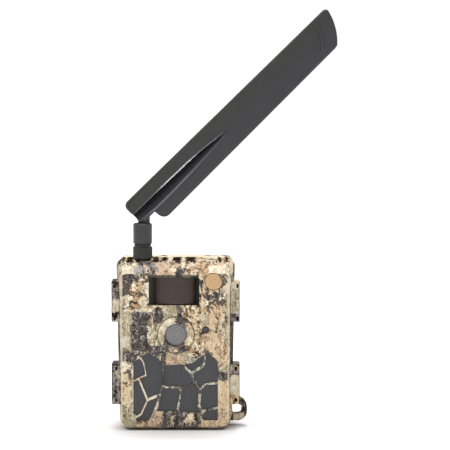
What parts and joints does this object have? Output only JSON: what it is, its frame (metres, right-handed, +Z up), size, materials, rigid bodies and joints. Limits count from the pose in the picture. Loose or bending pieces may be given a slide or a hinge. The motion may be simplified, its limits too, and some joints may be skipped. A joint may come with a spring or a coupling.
{
  "type": "trail camera",
  "caption": "Trail camera: clamshell case with two draw latches, camera lens, motion sensor, infrared window, tree bracket and a folding paddle antenna.",
  "frame": {"origin": "on the flat base, under the middle of the rear shell", "axes": "+X to the right as seen from in front, +Y to the back (the tree side), +Z up; the lens looks along -Y"},
  "size_m": [0.1964, 0.0782, 0.3639],
  "materials": {
    "camo_shell": "bark camouflage print, satin",
    "smoked_acrylic": "smoked, semi-gloss",
    "pir_polyethylene": "dark brown, satin",
    "lens_glass": "clear grey",
    "lens_trim": "grey, satin",
    "black_plastic": "fine texture",
    "antenna_plastic": "charcoal, satin",
    "circuit_board": "solder mask",
    "rubber": "matte",
    "key_rubber": "matte",
    "switch_plastic": "satin",
    "steel": "plated",
    "brass": "machined",
    "display_glass": "glossy"
  },
  "bodies": {
    "case": {"rear_case": "camo_shell", "door_gasket": "rubber", "hinge_pin_upper": "steel", "hinge_pin_lower": "steel", "latch_pin_upper": "steel", "latch_pin_lower": "steel", "tree_bracket": "camo_shell", "bracket_screw_upper": "steel", "bracket_screw_lower": "steel", "battery_tray": "black_plastic", "tray_screw_left": "steel", "tray_screw_right": "steel", "contact_lower_row_lower": "steel", "contact_lower_row_upper": "steel", "contact_upper_row_lower": "steel", "contact_upper_row_upper": "steel", "tripod_insert": "brass", "dc_jack": "black_plastic"},
    "door": {"front_case": "camo_shell", "ir_window": "smoked_acrylic", "ir_led_board": "circuit_board", "pir_lens": "pir_polyethylene", "pir_sensor": "steel", "lens_window": "lens_glass", "lens_bezel": "lens_trim", "lens_barrel": "black_plastic", "camera_board": "circuit_board", "light_sensor_window": "smoked_acrylic", "inner_panel": "black_plastic", "panel_screw_upper_left": "steel", "panel_screw_upper_right": "steel", "panel_screw_lower_left": "steel", "panel_screw_lower_right": "steel", "main_board": "circuit_board", "display": "display_glass", "sd_socket": "steel", "usb_socket": "steel", "sim_socket": "steel", "speaker": "black_plastic", "antenna_socket": "brass", "antenna_cable": "black_plastic"},
    "lever_upper": {"latch_lever_upper": "black_plastic"},
    "bail_upper": {"latch_bail_upper": "steel"},
    "lever_lower": {"latch_lever_lower": "black_plastic"},
    "bail_lower": {"latch_bail_lower": "steel"},
    "antenna_collar": {"antenna_nut": "antenna_plastic"},
    "antenna_base": {"antenna_hub": "antenna_plastic", "tilt_pin": "steel"},
    "antenna_blade": {"antenna_paddle": "antenna_plastic"},
    "switch": {"power_switch": "switch_plastic"},
    "port_cap": {"dc_cap": "rubber"},
    "key_up": {"button_up": "key_rubber"},
    "key_down": {"button_down": "key_rubber"},
    "key_left": {"button_left": "key_rubber"},
    "key_right": {"button_right": "key_rubber"},
    "key_ok": {"button_ok": "key_rubber"}
  },
  "joints": [
    {"name": "door_hinge", "type": "hinge", "parent": "case", "child": "door", "pos_m": [-0.0535, -0.017, 0], "axis": [0, 0, -1], "range_deg": [0, 110]},
    {"name": "antenna_nut_turn", "type": "hinge", "parent": "door", "child": "antenna_collar", "pos_m": [-0.0283, -0.03, 0.15], "axis": [0, 0, 1], "continuous": true},
    {"name": "antenna_swivel", "type": "hinge", "parent": "door", "child": "antenna_base", "pos_m": [-0.0283, -0.03, 0.161], "axis": [0, 0, 1], "continuous": true},
    {"name": "antenna_tilt", "type": "hinge", "parent": "antenna_base", "child": "antenna_blade", "pos_m": [-0.0283, -0.03, 0.186], "axis": [0, 1, 0], "range_deg": [-45, 44]},
    {"name": "power_switch_slide", "type": "slide", "parent": "door", "child": "switch", "axis": [1, 0, 0], "range_m": [0, 0.006]},
    {"name": "dc_cap_swing", "type": "hinge", "parent": "case", "child": "port_cap", "pos_m": [-0.0496, 0.005, 0.022], "axis": [0, -1, 0], "range_deg": [0, 100]},
    {"name": "latch_lever_upper_swing", "type": "hinge", "parent": "case", "child": "lever_upper", "pos_m": [0.0531, -0.0095, 0.1113], "axis": [0, 0, -1], "range_deg": [0, 120]},
    {"name": "latch_bail_upper_swing", "type": "hinge", "parent": "lever_upper", "child": "bail_upper", "pos_m": [0.0527, -0.0035, 0.1113], "axis": [0, 0, -1], "range_deg": [-120, 0]},
    {"name": "latch_lever_lower_swing", "type": "hinge", "parent": "case", "child": "lever_lower", "pos_m": [0.0531, -0.0095, 0.0395], "axis": [0, 0, -1], "range_deg": [0, 120]},
    {"name": "latch_bail_lower_swing", "type": "hinge", "parent": "lever_lower", "child": "bail_lower", "pos_m": [0.0527, -0.0035, 0.0395], "axis": [0, 0, -1], "range_deg": [-120, 0]},
    {"name": "key_up_press", "type": "slide", "parent": "door", "child": "key_up", "axis": [0, -1, 0], "range_m": [0, 0.0008], "stiffness_N_per_m": 400, "springref_m": -0.0004},
    {"name": "key_down_press", "type": "slide", "parent": "door", "child": "key_down", "axis": [0, -1, 0], "range_m": [0, 0.0008], "stiffness_N_per_m": 400, "springref_m": -0.0004},
    {"name": "key_left_press", "type": "slide", "parent": "door", "child": "key_left", "axis": [0, -1, 0], "range_m": [0, 0.0008], "stiffness_N_per_m": 400, "springref_m": -0.0004},
    {"name": "key_right_press", "type": "slide", "parent": "door", "child": "key_right", "axis": [0, -1, 0], "range_m": [0, 0.0008], "stiffness_N_per_m": 400, "springref_m": -0.0004},
    {"name": "key_ok_press", "type": "slide", "parent": "door", "child": "key_ok", "axis": [0, -1, 0], "range_m": [0, 0.0008], "stiffness_N_per_m": 400, "springref_m": -0.0004}
  ],
  "couplings": [
    {"joint": "latch_bail_upper_swing", "follows": "latch_lever_upper_swing", "ratio": -1},
    {"joint": "latch_bail_lower_swing", "follows": "latch_lever_lower_swing", "ratio": -1}
  ]
}
